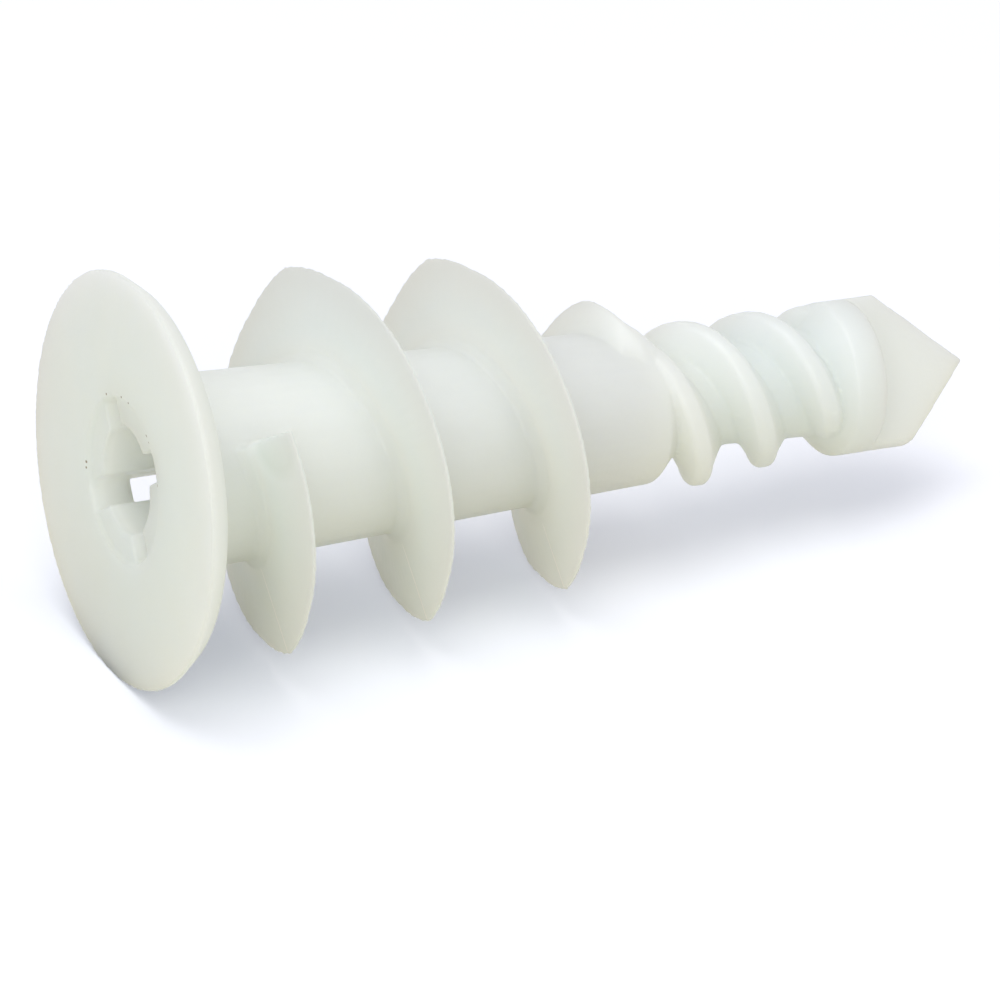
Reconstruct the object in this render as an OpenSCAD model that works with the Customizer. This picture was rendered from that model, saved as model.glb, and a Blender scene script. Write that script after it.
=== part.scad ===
// Plasterboard plug: one moulded nylon piece that drills and taps its own way into the board.
// It stands on its head: the head's face is at z = 0, the tip points up, and the Z axis is its own.
// Angles are counted about that axis from +X, the side where the mould opens. A thread climbs as they grow.

/* [Head] */
// Diameter of the head's face
head_d = 14.5; // [13.6:0.1:17]
// Diameter of the head at the back of its slanted rim
head_back_d = 13.4; // [12:0.1:13.5]
// Thickness of the straight edge of the rim
rim_land = 0.15; // [0.05:0.05:0.4]
// Thickness of the rim, from the face to its back edge
rim_t = 0.85; // [0.6:0.05:1.2]
// Depth at which the cone under the head meets the shank
neck_depth = 1.6; // [1.4:0.1:2.4]

/* [Drive recess] */
// Diameter across the wings of the cross, and of the shallow step round them
cross_d = 5.8; // [5:0.1:6.2]
// Width of a wing
wing_w = 1.05; // [0.8:0.05:1.3]
// Diameter across the wings at their foot
cross_foot_d = 4.4; // [4:0.1:5]
// Depth of the wings
cross_depth = 4.6; // [3.5:0.1:5]
// Depth of the flat step round the wings
step_depth = 0.15; // [0.1:0.05:0.4]
// Diameter of the round hole through the cross
mouth_d = 3.8; // [3.5:0.1:4.2]

/* [Pilot hole] */
// Diameter of the pilot hole that the screw cuts its thread in
pilot_d = 3.2; // [2.6:0.1:3.4]
// Depth at which the wide mouth narrows to the pilot hole
mouth_depth = 5.2; // [5.1:0.1:6]
// Depth of the pilot hole from the face, without its pointed end
pilot_depth = 19; // [14:0.5:19.5]
// Length of the pilot hole's pointed end
pilot_point = 1.4; // [1:0.1:2]

/* [Side window] */
// Width of the window through the wall behind the head
window_w = 0.95; // [0.7:0.05:1.2]
// Depth at which the window starts
window_start = 1.5; // [1.3:0.05:2]
// Depth at which the window ends
window_end = 5.0; // [4:0.1:5.1]

/* [Shank] */
// Diameter that the tapered shank would have at the head's face
shank_d = 6.94; // [6.6:0.02:7.2]
// Diameter of the shank where it ends
shank_end_d = 5.5; // [5:0.05:5.8]
// Depth at which the shank ends
shank_end = 19.8; // [19.7:0.1:20.6]
// Length of the cone from the shank's end down to the core of the fine thread
shank_shoulder = 1.2; // [0.5:0.1:1.3]

/* [Coarse thread] */
// Distance along the axis that one turn of either thread climbs
lead = 5.41; // [5.2:0.01:5.6]
// Depth of the crest at the angle where it would start
coarse_start = 3.54; // [3.4:0.02:3.8]
// Diameter over the crest where the coarse thread starts, from parting line to parting line
coarse_d = 13.68; // [13:0.02:13.8]
// Loss of crest diameter in one turn
coarse_taper = 0.74; // [0.4:0.02:0.8]
// How far the crest stands back from that diameter away from the parting lines, on the radius
crest_dip = 0.37; // [0:0.01:0.5]
// Angle on each side of a parting line over which the crest rises to its point there
parting_ramp = 25; // [15:1:40]
// Turns in which the flight rises steeply out of the shank, up to the opening side
coarse_rise = 0.012; // [0.01:0.002:0.03]
// Turns of full height
coarse_turns = 2.35; // [2.25:0.05:2.4]
// Turns in which the crest then drops to a low ledge
coarse_drop = 0.32; // [0.25:0.01:0.4]
// Diameter over the ledge
ledge_d = 7.9; // [7.4:0.1:8.2]
// Turns of the ledge
ledge_turns = 0.1; // [0.05:0.01:0.15]
// Turns in which the ledge then runs out into the shank
ledge_runout = 0.2; // [0.15:0.01:0.28]
// Width of the flight at its root
flight_root_w = 2; // [1.6:0.1:2.6]
// Width of the flight above its root fillet
flight_w = 0.9; // [0.8:0.1:1.5]
// Width of the flat crest
flight_crest_w = 0.14; // [0.12:0.01:0.4]
// Height of the root fillet
flight_fillet = 0.35; // [0.2:0.05:0.5]
// How far the flight is shifted between the mould's opening side and its parting line
draw_shift = 0.08; // [0:0.01:0.15]
// How far the flight lies towards the tip on the opening side, and towards the head on the far side
half_shift = 0.07; // [0:0.01:0.2]

/* [Fine thread] */
// Diameter of the core behind the shank
core_d = 3.35; // [3.2:0.05:3.8]
// Diameter of the core in front of the drill tip
core_end_d = 3.85; // [3.4:0.05:4.2]
// Diameter over the crest
fine_d = 5.55; // [5.5:0.05:5.8]
// Diameter over the crest where the first start leaves the shank
fine_first_d = 6.3; // [5.8:0.05:6.4]
// Depth of the crest at the angle where the mould opens
fine_start = 20.3; // [20.1:0.02:20.4]
// Turns before that angle over which a start grows out of the shank
fine_lead_in = 0.22; // [0.15:0.01:0.25]
// Turns of the first start after that angle
fine_turns = 1.3; // [1.25:0.01:1.35]
// Turns by which the second start runs on into the drill tip
fine_run_on = 0.14; // [0.05:0.01:0.2]
// Width of the ridge at its root on the side of the head
fine_back_w = 1.0; // [0.6:0.05:1.1]
// Width of the ridge at its root on the side of the tip
fine_front_w = 1.35; // [1:0.05:1.4]
// Width of the ridge at its crest
fine_crest_w = 0.7; // [0.4:0.05:0.8]

/* [Drill tip] */
// Depth at which the core starts to flare out to the tip's body
flare_start = 26.5; // [25.6:0.1:26.5]
// Depth at which the tip's round body starts
tip_start = 27.3; // [26.6:0.1:27.4]
// Diameter of the tip's round body and width of its blade
tip_d = 5.5; // [5.3:0.02:5.6]
// Depth at which the round body gives way to the blade
blade_start = 28.45; // [28.2:0.05:28.7]
// Thickness of the blade
blade_t = 0.9; // [0.8:0.05:1.6]
// Angle of the blade's flat sides from the opening side
blade_turn = -4; // [-15:1:15]
// How far the point lies off the axis
point_shift = 0.1; // [0:0.01:0.2]
// Whole length of the plug, from the face to the point
plug_length = 32.8; // [32:0.05:33.5]
// Angle between the two cutting lips
point_angle = 88; // [80:1:100]

/* [Hidden] */
$fn = 64;
eps = 0.01;
head_r = head_d / 2;
tip_r = tip_d / 2;
// How deep the flights are sunk into the solid that carries them
sink = 0.45;
coarse_steps = 72;
fine_steps = 32;
coarse_end = coarse_turns + coarse_drop + ledge_turns + ledge_runout;
// Radius of the tapered shank at a depth
function shank_r(z) = (shank_d + (shank_end_d - shank_d) * z / shank_end) / 2;
// Depth of the coarse crest after t turns, with the shifts that let the mould halves pull off
function coarse_z(t) = coarse_start + lead * t + draw_shift * sin(720 * t) + half_shift * cos(360 * t);
function fine_z(t) = fine_start + lead * t;
// How far the crest has risen to its point at a parting line: 1 on the line, 0 away from it
function parting_rise(t) = 1 - min(1, abs(cos(360 * t)) / sin(parting_ramp));
// Share of the crest's height over the ledge that is left after t turns
function coarse_share(t) = lookup(t, [
    [-coarse_rise, 0], [0, 1], [coarse_turns, 1], [coarse_turns + coarse_drop, 0]
]);
// Radius of the coarse crest after t turns: the rise, its gentle taper, the drop, the ledge and the run-out
function coarse_r(t) = lookup(t, [
    [-coarse_rise, shank_d / 2 - sink / 2],
    [0, coarse_d / 2],
    [coarse_turns, (coarse_d - coarse_taper * coarse_turns) / 2],
    [coarse_turns + coarse_drop, ledge_d / 2],
    [coarse_turns + coarse_drop + ledge_turns, ledge_d / 2],
    [coarse_end, shank_end_d / 2 - sink / 2]
]) - crest_dip * (1 - parting_rise(t)) * coarse_share(t);
// Radius of a fine crest at t turns: it grows out of the shank and runs out into the core
function fine_r(t, first_r, turns) = lookup(t, [
    [-fine_lead_in, shank_end_d / 2 - sink / 4],
    [0.15, first_r],
    [0.75, fine_d / 2],
    [turns - 0.2, fine_d / 2],
    [turns, core_end_d / 2 - sink / 4]
]);
// The turns at which a section of the coarse flight stands
crest_ts = concat([-coarse_rise], [for (i = [0 : coarse_steps * coarse_end]) i / coarse_steps]);

// Section of a coarse flight with its crest at radius r: pairs of radius and place along the axis.
// Its foot is sunk in the shank, and as the crest runs out the whole section goes down with it.
function coarse_section(r, root_r) =
    let (foot_r = root_r - sink, low_r = min(root_r + flight_fillet / 3, r - sink / 3),
        high_r = min(root_r + flight_fillet, r - sink / 4))
    [
        [foot_r, -flight_root_w / 2],
        [low_r, -flight_w / 2 - (flight_root_w - flight_w) * 0.2],
        [high_r, -flight_w / 2],
        [r, -flight_crest_w / 2],
        [r, flight_crest_w / 2],
        [high_r, flight_w / 2],
        [low_r, flight_w / 2 + (flight_root_w - flight_w) * 0.2],
        [foot_r, flight_root_w / 2]
    ];

// Section of a fine ridge, rounded over its crest, with its foot sunk in the core
function fine_section(r) =
    let (foot_r = core_d / 2 - sink, h = r - foot_r, edge = fine_crest_w / 2)
    [
        [foot_r, -fine_back_w - sink / 2],
        [foot_r + h * 0.75, -edge - (fine_back_w - edge) * 0.2],
        [foot_r + h * 0.94, -edge],
        [r, -edge / 2],
        [r, edge / 2],
        [foot_r + h * 0.94, edge],
        [foot_r + h * 0.75, edge + (fine_front_w - edge) * 0.2],
        [foot_r, fine_front_w + sink / 2]
    ];

// One ring of points: a section stood at an angle, with its middle at depth z
function ring(section, angle, z) = [for (p = section) [p[0] * cos(angle), p[0] * sin(angle), z + p[1]]];

// A closed solid through a list of rings that all have the same number of points
module swept(rings) {
    n = len(rings[0]);
    last = len(rings) - 1;
    points = [for (r = rings) for (p = r) p];
    walls = [for (i = [0 : last - 1]) for (j = [0 : n - 1])
        let (a = i * n + j, b = i * n + (j + 1) % n)
        each [[a, b, a + n], [b, b + n, a + n]]];
    caps = [[for (j = [n - 1 : -1 : 0]) j], [for (j = [0 : n - 1]) last * n + j]];
    polyhedron(points, concat(walls, caps));
}

module coarse_flight() {
    swept([for (t = crest_ts)
        ring(coarse_section(coarse_r(t), shank_r(coarse_z(t))), 360 * t, coarse_z(t))]);
}

module fine_ridge(first_r, turns) {
    swept([for (i = [-floor(fine_steps * fine_lead_in) : fine_steps * turns])
        let (t = i / fine_steps)
        ring(fine_section(fine_r(t, first_r, turns)), 360 * t, fine_z(t))]);
}

// Two starts, half a turn apart, cut off inside the tip's round body
module fine_thread() {
    intersection() {
        union() {
            fine_ridge(fine_first_d / 2, fine_turns);
            rotate([0, 0, 180])
                fine_ridge(fine_d / 2, fine_turns + fine_run_on);
        }
        cylinder(d = head_d, h = blade_start - sink);
    }
}

module head() {
    rotate_extrude() polygon([
        [0, 0], [head_r, 0], [head_r, rim_land], [head_back_d / 2, rim_t],
        [shank_r(neck_depth), neck_depth], [0, neck_depth]
    ]);
}

module shank() {
    core_start = shank_end + shank_shoulder;
    rotate_extrude() polygon([
        [0, 0], [shank_d / 2, 0], [shank_end_d / 2, shank_end], [core_d / 2, core_start],
        [core_end_d / 2, flare_start], [tip_r, tip_start], [tip_r, blade_start], [0, blade_start]
    ]);
}

// A flat blade with two straight cutting lips that meet in a point. The slab is drawn wider than the
// round body, which trims it, so a lip runs down from the point by this much for each millimetre across.
module blade() {
    fall = 1 / tan(point_angle / 2);
    intersection() {
        cylinder(r = tip_r, h = plug_length + 1);
        rotate([0, 0, blade_turn])
            translate([-blade_t / 2, 0, 0])
                rotate([90, 0, 90])
                    linear_extrude(blade_t) polygon([
                        [-tip_d, blade_start - 1], [tip_d, blade_start - 1],
                        [tip_d, plug_length - (tip_d - point_shift) * fall],
                        [point_shift, plug_length],
                        [-tip_d, plug_length - (tip_d + point_shift) * fall]
                    ]);
    }
}

// The cross that the driver turns, with the flat step round it and the round mouth through it
module drive_recess() {
    translate([0, 0, -eps])
        cylinder(d = mouth_d, h = mouth_depth + eps);
    translate([0, 0, -eps])
        cylinder(d = cross_d, h = step_depth + eps);
    intersection() {
        union() {
            for (angle = [0, 90])
                rotate([0, 0, angle])
                    translate([-cross_d, -wing_w / 2, -eps])
                        cube([2 * cross_d, wing_w, cross_depth + eps]);
        }
        translate([0, 0, -eps])
            cylinder(d1 = cross_d - eps, d2 = cross_foot_d, h = cross_depth + eps);
    }
}

module pilot_hole() {
    translate([0, 0, mouth_depth - eps])
        cylinder(d = pilot_d, h = pilot_depth - mouth_depth + eps);
    translate([0, 0, pilot_depth - eps])
        cylinder(d1 = pilot_d, d2 = pilot_d / 4, h = pilot_point);
}

// Left by the mould half that holds the core, on the side away from the start of the coarse thread
module window() {
    translate([-head_d, -window_w / 2, window_start])
        cube([head_d, window_w, window_end - window_start]);
}

module plug() {
    color([0.87, 0.89, 0.84])
        difference() {
            union() {
                head();
                shank();
                blade();
                coarse_flight();
                fine_thread();
            }
            drive_recess();
            pilot_hole();
            window();
        }
}

plug();
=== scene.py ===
"""Dresses the nylon plasterboard plug and sets it on a white table, seen from the photograph's viewpoint.

The plug's frame is the CAD one: the head's face at z = 0, the drill tip up along +Z and the mould's opening
side at +X. The table is laid against the plug as it lies in the photograph, on its head and its thread.
"""
import logging
import math
from dataclasses import dataclass
from enum import Enum

import bpy
from mathutils import Matrix, Vector


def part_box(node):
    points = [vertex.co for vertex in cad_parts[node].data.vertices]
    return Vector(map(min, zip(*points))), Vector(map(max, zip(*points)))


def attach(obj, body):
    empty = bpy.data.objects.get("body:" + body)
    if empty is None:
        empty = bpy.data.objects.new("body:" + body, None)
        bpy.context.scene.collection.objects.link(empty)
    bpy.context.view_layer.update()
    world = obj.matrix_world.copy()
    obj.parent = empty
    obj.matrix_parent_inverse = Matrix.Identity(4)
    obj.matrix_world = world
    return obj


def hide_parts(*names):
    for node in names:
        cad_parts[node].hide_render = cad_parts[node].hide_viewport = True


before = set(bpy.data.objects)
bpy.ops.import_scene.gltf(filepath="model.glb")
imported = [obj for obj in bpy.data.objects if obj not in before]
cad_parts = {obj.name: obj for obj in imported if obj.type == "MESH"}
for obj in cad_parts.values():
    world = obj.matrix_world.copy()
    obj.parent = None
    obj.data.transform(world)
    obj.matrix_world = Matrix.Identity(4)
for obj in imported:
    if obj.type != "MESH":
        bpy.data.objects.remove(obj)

LOG = logging.getLogger("plug")
MM = 0.001

Colour = tuple[float, float, float]
Span = tuple[float, float]
WHITE: Colour = (1.0, 1.0, 1.0)
BLACK: Colour = (0.0, 0.0, 0.0)

# Places of the colour sockets on a Mix node, whose sockets share their names.
MIX_LOW, MIX_HIGH, MIX_RESULT = 6, 7, 2


class Wire:
    """One output socket of a shader tree. Plain arithmetic on it adds the Math nodes."""

    def __init__(self, tree: "Shading", socket: bpy.types.NodeSocket) -> None:
        """Keeps the socket with the tree that it belongs to."""
        self.tree = tree
        self.socket = socket

    def maths(self, operation: str, *values: "Wire | float") -> "Wire":
        """Adds one Math node.

        Args:
            operation: the Math node's operation.
            values: what its inputs take, in order.

        Returns:
            The node's result.
        """
        return self.tree.node("ShaderNodeMath", {"operation": operation}, dict(enumerate(values)))

    def __add__(self, other: "Wire | float") -> "Wire":
        """Adds two values."""
        return self.maths("ADD", self, other)

    def __radd__(self, other: float) -> "Wire":
        """Adds two values, with the number first."""
        return self.maths("ADD", other, self)

    def __sub__(self, other: "Wire | float") -> "Wire":
        """Takes one value from another."""
        return self.maths("SUBTRACT", self, other)

    def __rsub__(self, other: float) -> "Wire":
        """Takes the wire's value from a number."""
        return self.maths("SUBTRACT", other, self)

    def __mul__(self, other: "Wire | float") -> "Wire":
        """Multiplies two values."""
        return self.maths("MULTIPLY", self, other)

    def __rmul__(self, other: float) -> "Wire":
        """Multiplies two values, with the number first."""
        return self.maths("MULTIPLY", other, self)

    def __abs__(self) -> "Wire":
        """Drops the sign."""
        return self.maths("ABSOLUTE", self)

    def larger(self, other: "Wire | float") -> "Wire":
        """Gives the larger of two values."""
        return self.maths("MAXIMUM", self, other)

    def fade(self, start: float, end: float) -> "Wire":
        """Eases from 0 where the value is start to 1 where it is end.

        Args:
            start: the value that gives 0.
            end: the value that gives 1, which may be the lower of the two.

        Returns:
            The eased value, between 0 and 1.
        """
        if start > end:
            return 1.0 - self.fade(end, start)
        settings = {"interpolation_type": "SMOOTHSTEP", "clamp": True}
        inputs = {"Value": self, "From Min": start, "From Max": end}
        return self.tree.node("ShaderNodeMapRange", settings, inputs)


class Shading:
    """The node tree of a material or of the world while it is built."""

    def __init__(self, owner: "bpy.types.Material | bpy.types.World") -> None:
        """Empties the tree.

        Args:
            owner: the material or the world that the tree is for.
        """
        owner.use_nodes = True
        self.owner = owner
        self.nodes = owner.node_tree.nodes
        self.links = owner.node_tree.links
        self.nodes.clear()

    def node(self, kind: str, settings: dict | None = None, inputs: dict | None = None,
             output: int | str = 0) -> Wire:
        """Adds one node.

        Args:
            kind: the node's type.
            settings: the node's own properties, which are set before its sockets.
            inputs: for each socket, by name or place, the value or the wire that it takes.
            output: the output that is wanted, by name or place.

        Returns:
            That output, as a wire.
        """
        made = self.nodes.new(kind)
        for key, value in (settings or {}).items():
            setattr(made, key, value)
        for key, value in (inputs or {}).items():
            if isinstance(value, Wire):
                self.links.new(value.socket, made.inputs[key])
            else:
                made.inputs[key].default_value = value
        return Wire(self, made.outputs[output])

    def vector(self, operation: str, inputs: dict, output: int | str = 0) -> Wire:
        """Adds one Vector Math node."""
        return self.node("ShaderNodeVectorMath", {"operation": operation}, inputs, output)

    def axis(self, place: Wire, letter: str) -> Wire:
        """Gives one coordinate of a place, by its letter."""
        return self.node("ShaderNodeSeparateXYZ", {}, {0: place}, letter)

    def blend(self, factor: Wire, low: "Wire | Colour", high: "Wire | Colour") -> Wire:
        """Blends two colours.

        Args:
            factor: 0 for the first colour and 1 for the second.
            low: the first colour.
            high: the second colour.

        Returns:
            The blended colour.
        """
        first, second = (colour if isinstance(colour, Wire) else (*colour, 1.0) for colour in (low, high))
        inputs = {0: factor, MIX_LOW: first, MIX_HIGH: second}
        return self.node("ShaderNodeMix", {"data_type": "RGBA"}, inputs, MIX_RESULT)

    def pick(self, factor: Wire, low: Wire, high: Wire) -> Wire:
        """Mixes two shaders, from the first where the factor is 0 to the second where it is 1."""
        return self.node("ShaderNodeMixShader", {}, {0: factor, 1: low, 2: high})

    def glow(self, kind: str, colour: Colour, strength: float) -> Wire:
        """Adds a shader that gives off light: Emission on a surface or Background in the world."""
        return self.node(kind, {}, {"Color": (*colour, 1.0), "Strength": strength})

    def seen(self) -> Wire:
        """Gives 1 for rays of the camera, of reflection and of refraction, and 0 for light that spreads."""
        camera, glossy, clear = (self.node("ShaderNodeLightPath", output=f"Is {kind} Ray")
                                 for kind in ("Camera", "Glossy", "Transmission"))
        return camera.larger(glossy).larger(clear)

    def finish(self, surface: Wire) -> "bpy.types.Material | bpy.types.World":
        """Ends the tree.

        Args:
            surface: the shader that the surface or the world gets.

        Returns:
            The finished material or world.
        """
        kind = "World" if isinstance(self.owner, bpy.types.World) else "Material"
        output = self.nodes.new(f"ShaderNodeOutput{kind}")
        self.links.new(surface.socket, output.inputs["Surface"])
        return self.owner


@dataclass(frozen=True)
class Mark:
    """A soft round mark on the plug. Its core is the part of its radius that has its full strength."""

    place_mm: tuple[float, float, float]
    radius_mm: float
    colour: Colour
    strength: float = 1.0
    core: float = 0.4


@dataclass(frozen=True)
class Pattern:
    """A noise: the size of its features and how many finer layers it has."""

    feature_mm: float
    detail: float


@dataclass(frozen=True)
class NaturalNylon:
    """Unpigmented nylon: milky and faintly green with soft clouds, a fine moulded grain and a parting line.

    The shank between the flights has painted light, a lighter and warmer tone that lifts its shade; the
    point has painted shade, a darker tone towards its end; the drive recess has painted light, a lighter
    tone that lifts its shade. A span is where a fade starts and ends: across is the distance from the
    parting plane, out is from the axis, along is from the head's face, side is towards the plug's lower side
    in the photograph, and noise is the pattern's own value.
    """

    milky: Colour = (0.745, 0.815, 0.80)
    warm: Colour = (0.76, 0.815, 0.775)
    clouds: Pattern = Pattern(4.5, 3.0)
    clouds_noise: Span = (0.3, 0.7)

    depth_mm: float = 5.0
    depth_tint: Colour = (1.0, 0.98, 0.88)
    refraction: float = 1.53
    shine: float = 0.5
    roughness: float = 0.36
    roughness_rise: float = 0.12
    dull_spots: Pattern = Pattern(1.5, 2.0)
    dull_noise: Span = (0.25, 0.75)

    grain: Pattern = Pattern(0.16, 2.0)
    grain_height_mm: float = 0.004
    ripple: Pattern = Pattern(1.7, 1.0)
    ripple_height_mm: float = 0.03

    # Painted light: a lighter, warmer tone that lifts the shade on the shank between the flights.
    shank_painted_light_tone: Colour = (0.815, 0.838, 0.785)
    shank_painted_light_out_mm: Span = (4.6, 3.3)
    shank_painted_light_along_mm: Span = (0.8, 2.0)
    # Painted shade: a darker tone towards the point.
    point_painted_shade_tone: Colour = (0.71, 0.752, 0.75)
    point_along_mm: Span = (19.0, 24.0)
    # Painted light: a lighter tone that lifts the shade in the drive recess.
    recess_painted_light_tone: Colour = (0.87, 0.925, 0.88)
    recess_out_mm: Span = (3.0, 2.8)
    recess_mouth_mm: Span = (0.1, 0.5)
    recess_floor_mm: Span = (6.0, 5.0)

    seam_tone: Colour = (0.95, 0.95, 0.91)
    seam_strength: float = 0.8
    seam_height_mm: float = 0.015
    seam_across_mm: Span = (0.07, 0.0)
    seam_side_mm: Span = (0.0, 1.0)
    seam_along_mm: Span = (2.0, 2.5)
    seam_out_mm: Span = (3.5, 3.8)

    def build(self, marks: tuple[Mark, ...]) -> bpy.types.Material:
        """Makes the material.

        Args:
            marks: the marks on the surface.

        Returns:
            The material.
        """
        shading = Shading(bpy.data.materials.new("natural_nylon"))
        metres = shading.node("ShaderNodeTexCoord", output="Object")
        place = shading.vector("SCALE", {0: metres, "Scale": 1.0 / MM})
        dull = self.noise(shading, place, self.dull_spots).fade(*self.dull_noise)
        relief = self.relief(shading, place)
        bump = shading.node("ShaderNodeBump", {}, {"Strength": 1.0, "Distance": MM, "Height": relief})
        surface = shading.node("ShaderNodeBsdfPrincipled", {"subsurface_method": "RANDOM_WALK"}, {
            "Base Color": self.colour(shading, place, marks),
            "Roughness": dull * self.roughness_rise + self.roughness,
            "Normal": bump,
            "IOR": self.refraction,
            "Subsurface Weight": 1.0,
            "Subsurface Radius": self.depth_tint,
            "Subsurface Scale": self.depth_mm * MM,
            "Specular IOR Level": self.shine,
        })
        return shading.finish(surface)

    def noise(self, shading: Shading, place: Wire, pattern: Pattern) -> Wire:
        """Adds a noise.

        Args:
            shading: the tree.
            place: the place on the plug, in millimetres.
            pattern: the noise's features.

        Returns:
            The noise, about 0 to 1.
        """
        inputs = {"Vector": place, "Scale": 1.0 / pattern.feature_mm, "Detail": pattern.detail,
                  "Roughness": 0.5}
        return shading.node("ShaderNodeTexNoise", {"noise_dimensions": "3D"}, inputs)

    def colour(self, shading: Shading, place: Wire, marks: tuple[Mark, ...]) -> Wire:
        """Lays the painted light and shade, the parting line and the marks over the clouds.

        Args:
            shading: the tree.
            place: the place on the plug, in millimetres.
            marks: the marks on the surface.

        Returns:
            The colour.
        """
        along, out = shading.axis(place, "Z"), self.distance_out(shading, place)
        in_recess = out.fade(*self.recess_out_mm) * along.fade(*self.recess_mouth_mm)
        layers = [
            # Painted light: a lighter, warmer tone that lifts the shade on the shank between the flights.
            (out.fade(*self.shank_painted_light_out_mm) * along.fade(*self.shank_painted_light_along_mm), self.shank_painted_light_tone),
            # Painted shade: a darker tone towards the point.
            (along.fade(*self.point_along_mm), self.point_painted_shade_tone),
            # Painted light: a lighter tone that lifts the shade in the drive recess.
            (in_recess * along.fade(*self.recess_floor_mm), self.recess_painted_light_tone),
            (self.seam(shading, place) * self.seam_strength, self.seam_tone),
        ]
        for mark in marks:
            away = shading.vector("DISTANCE", {0: place, 1: mark.place_mm}, "Value")
            cover = away.fade(mark.radius_mm, mark.radius_mm * mark.core)
            layers.append((cover * mark.strength, mark.colour))
        clouds = self.noise(shading, place, self.clouds).fade(*self.clouds_noise)
        colour = shading.blend(clouds, self.milky, self.warm)
        for cover, tone in layers:
            colour = shading.blend(cover, colour, tone)
        return colour

    def distance_out(self, shading: Shading, place: Wire) -> Wire:
        """Gives the distance from the plug's axis."""
        level = shading.vector("MULTIPLY", {0: place, 1: (1.0, 1.0, 0.0)})
        return shading.vector("LENGTH", {0: level}, "Value")

    def seam(self, shading: Shading, place: Wire) -> Wire:
        """Gives the parting line where it shows: on the threads, behind the head and on the lower side."""
        line = abs(shading.axis(place, "X")).fade(*self.seam_across_mm)
        lower_side = shading.axis(place, "Y").fade(*self.seam_side_mm)
        behind_head = shading.axis(place, "Z").fade(*self.seam_along_mm)
        on_thread = self.distance_out(shading, place).fade(*self.seam_out_mm)
        return line * lower_side * behind_head * on_thread

    def relief(self, shading: Shading, place: Wire) -> Wire:
        """Gives the height of the grain, the ripple and the parting line, in millimetres."""
        grain = self.noise(shading, place, self.grain) * self.grain_height_mm
        ripple = self.noise(shading, place, self.ripple) * self.ripple_height_mm
        return grain + ripple + self.seam(shading, place) * self.seam_height_mm


@dataclass(frozen=True)
class WhiteTable:
    """The white table: matte, lifted to white where it is seen, and clear from below.

    The light that it spreads on the plug is weaker and warmer than what the camera and reflections see.
    """

    paper: Colour = (0.95, 0.95, 0.95)
    bounce: Colour = (0.79, 0.745, 0.58)
    lift: float = 0.165
    lift_tint: Colour = (0.6, 0.64, 1.15)

    def build(self) -> bpy.types.Material:
        """Makes the table's material."""
        shading = Shading(bpy.data.materials.new("white_table"))
        seen = shading.seen()
        colour = shading.blend(seen, self.bounce, self.paper)
        paper = shading.node("ShaderNodeBsdfDiffuse", {}, {"Color": colour})
        lift = shading.glow("ShaderNodeEmission", self.lift_tint, self.lift)
        no_lift = shading.glow("ShaderNodeEmission", BLACK, 0.0)
        top = shading.node("ShaderNodeAddShader", {}, {0: paper, 1: shading.pick(seen, no_lift, lift)})
        clear = shading.node("ShaderNodeBsdfTransparent", {}, {"Color": (*WHITE, 1.0)})
        below = shading.node("ShaderNodeNewGeometry", output="Backfacing")
        return shading.finish(shading.pick(below, top, clear))


@dataclass(frozen=True)
class MouldedBody:
    """The plug's one moulded piece, with the soft edges that nylon leaves the mould with."""

    name: str = "plug_body"
    node: str = "plug"
    slot: str = "nylon"
    weld_mm: float = 0.0005
    voxel_mm: float = 0.08
    soften: float = 0.5
    soften_passes: int = 4
    face_budget: int = 190000

    def build(self) -> bpy.types.Object:
        """Copies the solid, closes its mesh and softens its edges.

        Returns:
            The new piece, at the origin, unturned and unscaled.
        """
        piece = self.copy_of_node()
        bpy.ops.object.mode_set(mode="EDIT")
        bpy.ops.mesh.select_all(action="SELECT")
        bpy.ops.mesh.remove_doubles(threshold=self.weld_mm * MM)
        bpy.ops.mesh.normals_make_consistent(inside=False)
        bpy.ops.object.mode_set(mode="OBJECT")
        self.modify(piece, "REMESH", mode="VOXEL", voxel_size=self.voxel_mm * MM, use_smooth_shade=True)
        self.modify(piece, "SMOOTH", factor=self.soften, iterations=self.soften_passes)
        triangles = sum(len(polygon.vertices) - 2 for polygon in piece.data.polygons)
        if triangles > self.face_budget:
            self.modify(piece, "DECIMATE", ratio=self.face_budget / triangles)
        bpy.ops.object.shade_smooth()
        return piece

    def copy_of_node(self) -> bpy.types.Object:
        """Copies the solid's mesh to a new object and selects it alone."""
        bpy.ops.object.select_all(action="DESELECT")
        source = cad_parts[self.node]
        piece = bpy.data.objects.new(self.name, source.data.copy())
        bpy.context.scene.collection.objects.link(piece)
        piece.select_set(True)
        bpy.context.view_layer.objects.active = piece
        return piece

    def modify(self, piece: bpy.types.Object, kind: str, **settings: object) -> None:
        """Adds a modifier and applies it.

        Args:
            piece: the object.
            kind: the modifier's type.
            settings: the modifier's own properties.
        """
        modifier = piece.modifiers.new(kind.lower(), kind)
        for key, value in settings.items():
            setattr(modifier, key, value)
        bpy.ops.object.modifier_apply(modifier=modifier.name)

    def dress(self, piece: bpy.types.Object, finish: bpy.types.Material) -> None:
        """Gives the piece its finish, hangs it under the root body and hides the CAD solid that it stands in
        for.

        Args:
            piece: the object.
            finish: its material.
        """
        piece.data.materials.clear()
        piece.data.materials.append(finish)
        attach(piece, "root")
        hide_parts(self.node)


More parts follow.
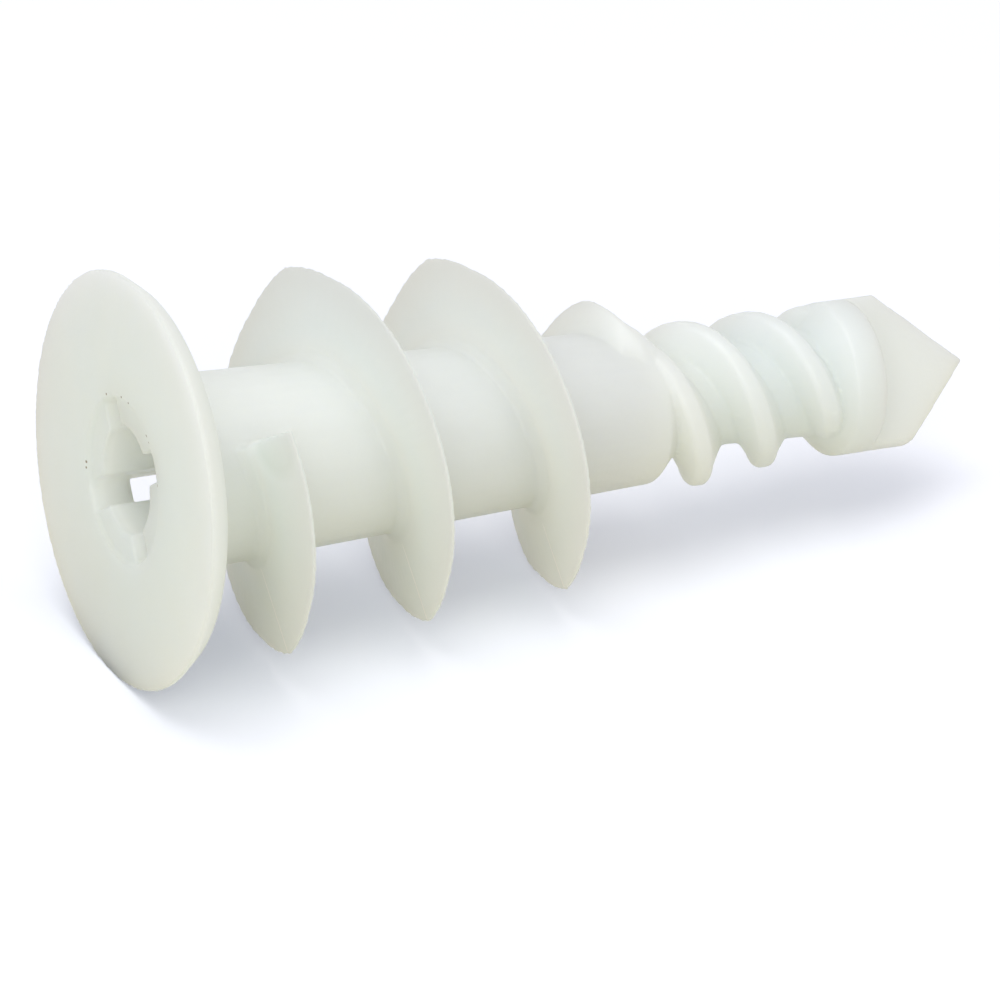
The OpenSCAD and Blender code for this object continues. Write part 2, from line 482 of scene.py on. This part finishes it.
@dataclass(frozen=True)
class PhotoView:
    """Where the photograph was taken from, told by how the plug lies in the picture.

    Sight is the angle between the plug's axis and the line of sight, climb is how far the axis rises to the
    right in the picture, and turn is the plug's turn about its axis.
    """

    lens_mm: float = 288.0
    sensor_mm: float = 36.0
    picture_px: float = 1000.0
    distance_mm: float = 272.05
    clip_m: Span = (0.01, 10.0)
    sight_deg: float = 64.14
    climb_deg: float = 8.48
    turn_deg: float = -10.8
    head_px: tuple[float, float] = (121.7, 480.9)

    def plug_axes(self) -> Matrix:
        """Gives the plug's X, Y and Z axes as columns, in the camera's right, up and back directions."""
        angles = (self.sight_deg, self.climb_deg, self.turn_deg)
        sight, climb, turn = (math.radians(angle) for angle in angles)
        rightward = Vector((math.cos(climb), math.sin(climb), 0.0))
        axis = rightward * math.sin(sight) - Vector((0.0, 0.0, 1.0)) * math.cos(sight)
        upward = Vector((0.0, 1.0, 0.0))
        upward = (upward - axis * upward.dot(axis)).normalized()
        nearer = axis.cross(upward)
        x_axis = nearer * math.cos(turn) - upward * math.sin(turn)
        y_axis = -upward * math.cos(turn) - nearer * math.sin(turn)
        return Matrix((x_axis, y_axis, axis)).transposed()

    def camera_matrix(self) -> Matrix:
        """Gives the camera's place and turn in the plug's frame."""
        mm_per_px = self.distance_mm * self.sensor_mm / (self.lens_mm * self.picture_px)
        middle = self.picture_px / 2
        right, up = self.head_px[0] - middle, middle - self.head_px[1]
        head = Vector((right * mm_per_px, up * mm_per_px, -self.distance_mm))
        back = self.plug_axes().transposed()
        return Matrix.Translation(back @ -head * MM) @ back.to_4x4()

    def build(self) -> bpy.types.Object:
        """Makes the camera and gives it to the scene."""
        data = bpy.data.cameras.new("photo_camera")
        data.lens = self.lens_mm
        data.sensor_width = self.sensor_mm
        data.clip_start, data.clip_end = self.clip_m
        camera = bpy.data.objects.new("photo_camera", data)
        bpy.context.scene.collection.objects.link(camera)
        camera.matrix_world = self.camera_matrix()
        bpy.context.scene.camera = camera
        return camera


class Side(Enum):
    """The directions in which a lamp can stand from the plug, on the table."""

    RIGHT = "right"
    UP = "up"
    NEAR = "near"


@dataclass(frozen=True)
class Softbox:
    """A square studio lamp aimed at the middle of the plug."""

    name: str
    watts: float
    right_mm: float
    up_mm: float
    near_mm: float
    tint: Colour = WHITE
    side_mm: float = 220.0

    def build(self, axes: dict[Side, Vector], middle: Vector) -> bpy.types.Object:
        """Makes the lamp.

        Args:
            axes: the table's directions, by Side.
            middle: the point that the lamp faces.

        Returns:
            The lamp.
        """
        data = bpy.data.lights.new(self.name, "AREA")
        data.shape = "SQUARE"
        data.size = self.side_mm * MM
        data.energy = self.watts
        data.color = self.tint
        lamp = bpy.data.objects.new(self.name, data)
        bpy.context.scene.collection.objects.link(lamp)
        away = axes[Side.RIGHT] * self.right_mm + axes[Side.UP] * self.up_mm + axes[Side.NEAR] * self.near_mm
        turn = away.to_track_quat("Z", "Y").to_matrix().to_4x4()
        lamp.matrix_world = Matrix.Translation(middle + away * MM) @ turn
        return lamp


@dataclass(frozen=True)
class Studio:
    """The table under the lying plug, the lamps and the white surroundings.

    Roll is the turn about the plug's axis that faces the table, and dip is how far the axis slopes to it.
    """

    roll_deg: float = 126.0
    dip_deg: float = 4.68
    table_mm: float = 900.0
    ambient: float = 0.51
    lamps: tuple[Softbox, ...] = (
        Softbox("top_softbox", watts=0.305, right_mm=0.0, up_mm=300.0, near_mm=40.0),
        Softbox("left_softbox", watts=0.117, right_mm=-120.0, up_mm=280.0, near_mm=0.0,
                tint=(0.93, 1.0, 1.0)),
        Softbox("right_softbox", watts=0.03, right_mm=240.0, up_mm=180.0, near_mm=60.0),
        Softbox("front_softbox", watts=0.285, right_mm=0.0, up_mm=140.0, near_mm=270.0,
                tint=(0.95, 1.0, 1.0)),
    )

    def up(self) -> Vector:
        """Gives the table's upward direction in the plug's frame."""
        roll = math.radians(self.roll_deg)
        dip = math.radians(self.dip_deg)
        return -Vector((math.cos(dip) * math.cos(roll), math.cos(dip) * math.sin(roll), math.sin(dip)))

    def build(self, piece: bpy.types.Object, camera: bpy.types.Object) -> None:
        """Lays the table against the plug, and sets the lamps and the surroundings.

        Args:
            piece: the plug, which the table touches.
            camera: the camera, which gives the lamps their sides.
        """
        up = self.up()
        near = camera.matrix_world.to_3x3() @ Vector((0.0, 0.0, 1.0))
        near = (near - up * near.dot(up)).normalized()
        axes = {Side.UP: up, Side.NEAR: near, Side.RIGHT: up.cross(near)}
        low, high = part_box("plug")
        middle = (Vector(low) + Vector(high)) / 2
        level = min((vertex.co - middle).dot(up) for vertex in piece.data.vertices)
        self.table(middle + up * level, up)
        for lamp in self.lamps:
            lamp.build(axes, middle)
        self.surroundings()

    def table(self, place: Vector, up: Vector) -> None:
        """Makes the table's top at a place, facing up."""
        bpy.ops.object.select_all(action="DESELECT")
        bpy.ops.mesh.primitive_plane_add(size=self.table_mm * MM, location=(0.0, 0.0, 0.0))
        table = bpy.context.object
        table.name = "white_table"
        table.data.transform(Matrix.Translation(place) @ up.to_track_quat("Z", "Y").to_matrix().to_4x4())
        table.data.materials.append(WhiteTable().build())

    def surroundings(self) -> None:
        """Gives the world an even light, and white where the camera or a reflection sees it."""
        shading = Shading(bpy.data.worlds.new("studio"))
        light = shading.glow("ShaderNodeBackground", WHITE, self.ambient)
        white = shading.glow("ShaderNodeBackground", WHITE, 1.0)
        bpy.context.scene.world = shading.finish(shading.pick(shading.seen(), light, white))


def burnt_specks() -> tuple[Mark, ...]:
    """Gives the small burnt specks on the edge of the drive recess."""
    angle_out_and_size = (
        (-87, 3.01, 0.06), (-63, 2.98, 0.055), (-52, 2.98, 0.05), (-20, 2.93, 0.09),
        (-15, 2.93, 0.07), (14, 2.93, 0.08), (-156, 2.95, 0.07), (-160, 2.97, 0.06),
    )
    brown = (0.20, 0.15, 0.09)
    specks = []
    for angle_deg, out_mm, size_mm in angle_out_and_size:
        angle = math.radians(angle_deg)
        specks.append(Mark((out_mm * math.cos(angle), out_mm * math.sin(angle), 0.0), size_mm, brown))
    return tuple(specks)


def flight_start_shade() -> Mark:
    """Gives the painted shade where the coarse flight starts, a darker spot on its face."""
    return Mark((5.3, 0.25, 3.5), radius_mm=1.45, colour=(0.5, 0.57, 0.5), strength=0.38, core=0.55)


def main() -> None:
    """Builds the dressed plug, the camera and the studio."""
    logging.basicConfig(level=logging.INFO, format="%(message)s")
    bpy.context.scene.view_settings.view_transform = "Standard"
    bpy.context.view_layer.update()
    body = MouldedBody()
    piece = body.build()
    body.dress(piece, NaturalNylon().build((*burnt_specks(), flight_start_shade())))
    LOG.info("%s: %d faces", piece.name, len(piece.data.polygons))
    view = PhotoView()
    camera = view.build()
    LOG.info("%s: %.0f mm from the head", camera.name, view.distance_mm)
    studio = Studio()
    studio.build(piece, camera)
    LOG.info("white_table and %d lamps", len(studio.lamps))


if __name__ == "__main__":
    main()
